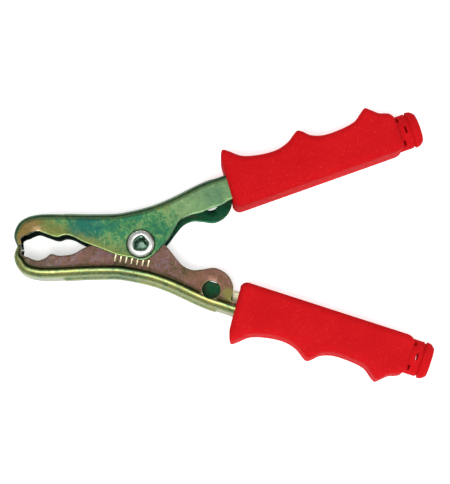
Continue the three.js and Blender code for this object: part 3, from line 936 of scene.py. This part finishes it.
def chromate(name, film, stepped_above):
    """Yellow zinc chromate: a clear film on satin steel, whose colour follows its thickness. Over
    it lie painted highlights along the bends and painted shade inside the mouth and round the
    rivet, and the backs' colours are partly painted shade and highlight.

    The half whose stepped wall is above has its back's colour past the step too, a pale band at the
    coined height that is bare metal on the ticks and painted highlight on the hole's rim and the
    wall's rounded edges, and a pale patch of painted light at the end of its lining.
    """
    surface = Surface(name, Metallic=1.0)
    broad = surface.noise(13, detail=2, distortion=0.5)
    small = surface.noise(2.2, detail=5, roughness=0.7, distortion=0.4, offset=(7, 3, 1))
    fine = surface.noise(0.6, detail=4, roughness=0.65, offset=(2, 9, 4))
    level = surface.ramp(surface.total((broad, 0.3), (small, 0.4), (fine, 0.3)), 0.36, 0.64)
    height = surface.minus(surface.z, MID_HEIGHT)
    upright = surface.math("ABSOLUTE", surface.face_z)

    # walls, backs and the bends between them
    flat = surface.ramp(upright, 0.9, 0.98)
    if stepped_above:
        step = surface.ramp(height, INNER_WALL + 0.2, HALF_WIDTH - 0.2)
        flat = surface.times(flat, surface.minus(1.0, step))
    walls = film_on_walls(surface, film, level, small, fine)
    tint = surface.mix(surface.band(level, film["back"]), walls, flat)
    # painted highlight: a lighter line where each bend starts to turn from the wall
    painted_shoulder_highlight = surface.between(upright, 0.84, 0.92, 0.96, 0.99)
    tint = surface.layer(tint, film["painted_shoulder_highlight"], painted_shoulder_highlight, 0.6)
    hairs = surface.noise(0.4, detail=2, stretch=(1, 0.12, 0.12), turn=24)
    patches = surface.ramp(surface.noise(8, offset=(3, 3, 3)), 0.48, 0.6)
    scratches = surface.times(surface.ramp(hairs, 0.64, 0.74), patches)
    tint = surface.layer(tint, SCRATCHED, scratches, 0.35)

    # inside, where a face looks towards the channel's middle
    inside = surface.ramp(surface.times(height, surface.face_z), -1.0, -3.0)
    tint = surface.mix(tint, chromate_lining(surface, level, painted_light_end=stepped_above), inside)

    # dirt and wear, a painted shade ring round the rivet's head, and the pale coined band
    grime = surface.ramp(surface.noise(1.1, detail=6, roughness=0.75), 0.47, 0.72)
    tint = surface.layer(tint, GRIME, grime, 0.4)
    # painted shade: a dark ring on the wall round the rivet's head
    tint = surface.layer(tint, PAINTED_SHADE, surface.spot(0, 0, SET_HEAD_RADIUS + 0.1, 0.5), 0.75)
    if stepped_above:
        # pale band just below the stepped wall's face: bare metal on the coined ticks, and painted
        # highlight on the lug hole's rim and the wall's rounded edges
        coined = surface.between(surface.minus(height, INNER_WALL), -0.34, -0.26, -0.1, -0.04)
        coined = surface.times(coined, surface.ramp(upright, 0.3, 0.6))
        tint = surface.layer(tint, PALE_BARE_AND_PAINTED_LIGHT, coined, 0.9)

    streaks = surface.noise(0.5, detail=2, stretch=(0.12, 1, 1))
    surface.give("Base Color", tint)
    surface.give("Roughness", surface.total((small, 0.2), (streaks, 0.12), base=0.2))
    surface.bump(surface.noise(6, detail=1), 0.12)
    surface.bump(streaks, 0.008)
    return surface.material


def vinyl(name):
    """Matt red moulding with a fine speckle, and dust in its grain."""
    surface = Surface(name, Specular_IOR_Level=0.01)
    cloud = surface.ramp(surface.noise(18, detail=3), 0.3, 0.7)
    speck = surface.ramp(surface.noise(0.6, detail=4, roughness=0.7), 0.48, 0.72)
    dust = surface.ramp(surface.noise(0.7, detail=3, roughness=0.6, offset=(5, 5, 5)), 0.56, 0.74)
    tint = surface.mix(RED_DARK, RED_LIGHT, cloud)
    tint = surface.layer(tint, RED_SPECK, speck, 0.5)
    tint = surface.layer(tint, RED_DUST, dust, 0.4)
    grain = surface.noise(0.34, detail=3, roughness=0.6)
    surface.give("Base Color", tint)
    surface.give("Roughness", surface.total((grain, 0.16), (cloud, 0.08), base=0.5))
    surface.bump(surface.noise(9, detail=1), 0.16)
    surface.bump(grain, 0.02)
    return surface.material


def zinc(name):
    """Bright zinc, with film and grease in the hollow and a painted shade ring round the head's
    rim.
    """
    surface = Surface(name, Metallic=1.0)
    cloud = surface.noise(2.4, detail=4, roughness=0.6)
    blotch = surface.ramp(surface.noise(1.3, detail=3, roughness=0.6), 0.38, 0.6)
    distance = surface.distance()
    hollow = surface.ramp(distance, HOLLOW_RADIUS + 0.5, HOLLOW_RADIUS - 0.1)
    rim = surface.ramp(distance, SET_HEAD_RADIUS - 0.4, SET_HEAD_RADIUS - 0.1)
    tint = surface.mix(ZINC_BRIGHT, ZINC_DULL, surface.ramp(cloud, 0.4, 0.75))
    tint = surface.layer(tint, surface.mix(STAIN_DARK, STAIN_LIGHT, blotch), hollow, 0.85)
    # painted shade: a dark ring round the head's rim
    tint = surface.layer(tint, ZINC_RIM_SHADE, rim, 0.8)
    rings = surface.noise(0.7, detail=3, stretch=(1, 1, 3))
    surface.give("Base Color", tint)
    surface.give("Roughness", surface.total((cloud, 0.12), (rings, 0.12), base=0.16))
    surface.bump(cloud, 0.03)
    return surface.material


def wire_steel(name):
    """Drawn spring wire, grey and slightly scratched."""
    surface = Surface(name, Metallic=1.0)
    cloud = surface.noise(2.0, detail=4, roughness=0.6)
    scratches = surface.noise(0.25, detail=2)
    surface.give("Base Color", surface.mix(WIRE_LIGHT, WIRE_DARK, surface.ramp(cloud, 0.35, 0.7)))
    surface.give("Roughness", surface.total((scratches, 0.2), base=0.25))
    surface.bump(scratches, 0.006)
    return surface.material


def backdrop(name):
    """Plain pale floor, lit a little from within so that it stays white."""
    surface = Surface(name, Roughness=0.9, Emission_Color=WHITE, Emission_Strength=0.5)
    cloud = surface.ramp(surface.noise(300, detail=2), 0.3, 0.7)
    surface.give("Base Color", surface.mix(FLOOR_GREY, WHITE, cloud))
    return surface.material


# ------------------------------------------------------------------ pieces


def finish_piece(piece, material, body, nodes):
    """Shades and colours a piece, and tells the frame where it belongs."""
    shade(piece)
    piece.data.materials.clear()
    piece.data.materials.append(material)
    for face in piece.data.polygons:
        face.material_index = 0
    if body:
        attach(piece, body)
    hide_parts(*nodes)


red = vinyl("red_vinyl")
for half, upper, tooth_x, seat, film in (
    ("upper", True, UPPER_TOOTH_X, UPPER_SEAT, UPPER_FILM),
    ("lower", False, LOWER_TOOTH_X, LOWER_SEAT, LOWER_FILM),
):
    jaw = channel_half(half + "_channel", tooth_x)
    to_row_frame(jaw, upper)
    steel = chromate("chromated_steel_" + half, film, stepped_above=not upper)
    finish_piece(jaw, steel, half + "_half", [half + "_jaw"])
    handle = grip(half + "_handle", seat)
    to_row_frame(handle, upper)
    finish_piece(handle, red, half + "_half", [half + "_grip"])

finish_piece(rivet(), zinc("bright_zinc"), "lower_half", ["pivot_rivet"])

coil, coil_rise = spring()
finish_piece(coil, wire_steel("spring_steel"), None, ["torsion_spring"])
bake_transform(coil)

# ------------------------------------------------------------------ floor, light and camera

FLOOR_REACH = 6000
FLOOR_DEPTH = 40

floor_points = [(x * FLOOR_REACH, y * FLOOR_REACH, z) for z in (-FLOOR_DEPTH, 0) for x, y in SQUARE]
floor = capped_loft("floor", floor_points, 4)
floor.data.materials.append(backdrop("pale_floor"))

VIEW_AZIMUTH = math.radians(-0.85)
VIEW_ELEVATION = math.radians(83)
VIEW_DISTANCE = 800
AIM = Vector((26.74, 1.05, MID_HEIGHT))
LENS = 200
SENSOR = 36
NEAREST, FARTHEST = 10, 20000
SKY_RAMPS = (  # axis, from and to along it, and the brightness at each
    ("Y", -0.5, 0.7, 1.0, 0.5),
    ("Z", 0.05, 0.7, 0.3, 1.0),
)


def area_light(name, place, size, power):
    """Round light of a size in millimetres and a power in watts, turned towards the object."""
    data = bpy.data.lights.new(name, "AREA")
    data.shape = "DISK"
    data.size = size * MM
    data.energy = power
    lamp = bpy.data.objects.new(name, data)
    lamp.location = Vector(place) * MM
    lamp.rotation_euler = (AIM - Vector(place)).to_track_quat("-Z", "Y").to_euler()
    bpy.context.scene.collection.objects.link(lamp)


def studio_sky():
    """White surroundings, brighter in front of the object (-Y) than behind, and dim low down."""
    world = bpy.data.worlds.new("studio")
    world.use_nodes = True
    sky = world.node_tree
    way = sky.nodes.new("ShaderNodeTexCoord")
    split = sky.nodes.new("ShaderNodeSeparateXYZ")
    sky.links.new(way.outputs["Generated"], split.inputs[0])
    product = sky.nodes.new("ShaderNodeMath")
    product.operation = "MULTIPLY"
    for factor, (axis, *limits) in zip(product.inputs, SKY_RAMPS):
        level = sky.nodes.new("ShaderNodeMapRange")
        level.interpolation_type = "SMOOTHSTEP"
        for socket, value in zip(("From Min", "From Max", "To Min", "To Max"), limits):
            level.inputs[socket].default_value = value
        sky.links.new(split.outputs[axis], level.inputs["Value"])
        sky.links.new(level.outputs["Result"], factor)
    background = sky.nodes["Background"]
    background.inputs["Color"].default_value = (1, 1, 1, 1)
    sky.links.new(product.outputs[0], background.inputs["Strength"])
    return world


area_light("key", place=(-60, -250, 1000), size=260, power=4.0)
area_light("fill", place=(500, -300, 700), size=420, power=1.0)
bpy.context.scene.world = studio_sky()
bpy.context.scene.view_settings.view_transform = "Standard"

back_vector = Vector((
    math.sin(VIEW_AZIMUTH) * math.cos(VIEW_ELEVATION),
    -math.cos(VIEW_AZIMUTH) * math.cos(VIEW_ELEVATION),
    math.sin(VIEW_ELEVATION),
))
lens = bpy.data.cameras.new("camera")
lens.lens = LENS
lens.sensor_fit = "HORIZONTAL"
lens.sensor_width = SENSOR
lens.clip_start = NEAREST * MM
lens.clip_end = FARTHEST * MM
camera = bpy.data.objects.new("camera", lens)
camera.location = (AIM + back_vector * VIEW_DISTANCE) * MM
camera.rotation_euler = (math.pi / 2 - VIEW_ELEVATION, 0, VIEW_AZIMUTH)
bpy.context.scene.collection.objects.link(camera)
bpy.context.scene.camera = camera
